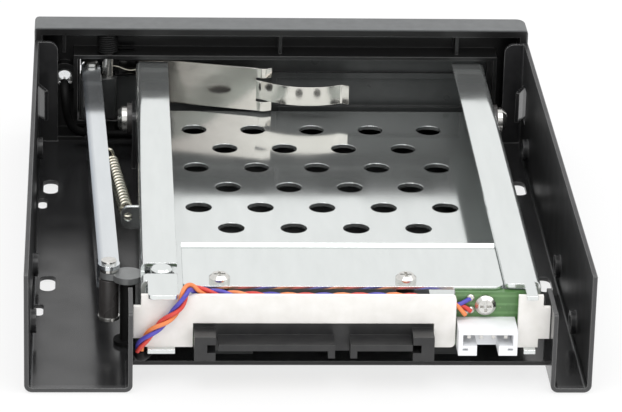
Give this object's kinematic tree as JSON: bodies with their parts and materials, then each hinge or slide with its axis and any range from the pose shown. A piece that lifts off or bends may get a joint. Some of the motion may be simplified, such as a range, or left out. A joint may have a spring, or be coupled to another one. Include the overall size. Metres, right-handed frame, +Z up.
{
  "type": "hard drive mobile rack",
  "caption": "Black steel bay frame with a bright perforated drive cage, hinged front flap, eject linkage and rear host connectors for a small plug-in drive.",
  "frame": {"origin": "centre of the bounding box's bottom face, on the tray's underside", "axes": "+X to the right seen from the connector end, +Y towards the front bezel, +Z up"},
  "size_m": [0.1016, 0.129, 0.0254],
  "materials": {
    "black_steel": "gloss",
    "bright_zinc": "bright",
    "spring_steel": "polished",
    "plated_steel": "satin",
    "black_washer": "matte",
    "dark_steel": "satin",
    "black_plastic": "satin",
    "white_plastic": "satin",
    "green_board": "gloss",
    "gold_contact": "bright",
    "clear_lamp": "gloss",
    "wire_insulation": "satin"
  },
  "bodies": {
    "base": {"tray": "black_steel", "drive_cage": "bright_zinc", "socket_cover": "bright_zinc", "lip_stud": "bright_zinc", "return_spring": "spring_steel", "cover_screws": "plated_steel", "board_screw": "plated_steel", "side_screws": "plated_steel", "floor_screws": "plated_steel", "hinge_pin": "plated_steel", "power_header_pins": "plated_steel", "indicator_pins": "plated_steel", "side_washers": "black_washer", "hinge_spring": "dark_steel", "crank_post": "dark_steel", "front_bezel": "black_plastic", "drive_socket": "black_plastic", "host_plug": "black_plastic", "insulator_panel": "white_plastic", "insulator_end": "white_plastic", "power_header": "white_plastic", "backplane_board": "green_board", "host_plug_contacts": "gold_contact", "indicator_lamp": "clear_lamp", "indicator_lead": "wire_insulation"},
    "door": {"front_door": "black_plastic", "leaf_spring": "spring_steel", "link_front_pin": "plated_steel"},
    "link": {"eject_link": "bright_zinc", "link_rear_pin": "plated_steel", "pin_sleeve": "black_plastic"},
    "crank": {"eject_crank": "dark_steel"}
  },
  "joints": [
    {"name": "door_swing", "type": "hinge", "parent": "base", "child": "door", "pos_m": [-0.0358, 0.0589, 0.012], "axis": [0, 0, 1], "range_deg": [0, 90], "deforming": ["return_spring"]},
    {"name": "link_pivot", "type": "hinge", "parent": "door", "child": "link", "pos_m": [-0.03925, 0.0599, 0.0158], "axis": [0, 0, 1], "range_deg": [-90, 0]},
    {"name": "crank_turn", "type": "hinge", "parent": "base", "child": "crank", "pos_m": [-0.0323, -0.0447, 0.014], "axis": [0, 0, 1], "range_deg": [0, 90]}
  ],
  "couplings": [
    {"joint": "link_pivot", "follows": "door_swing", "ratio": -1},
    {"joint": "crank_turn", "follows": "door_swing", "ratio": 1}
  ]
}
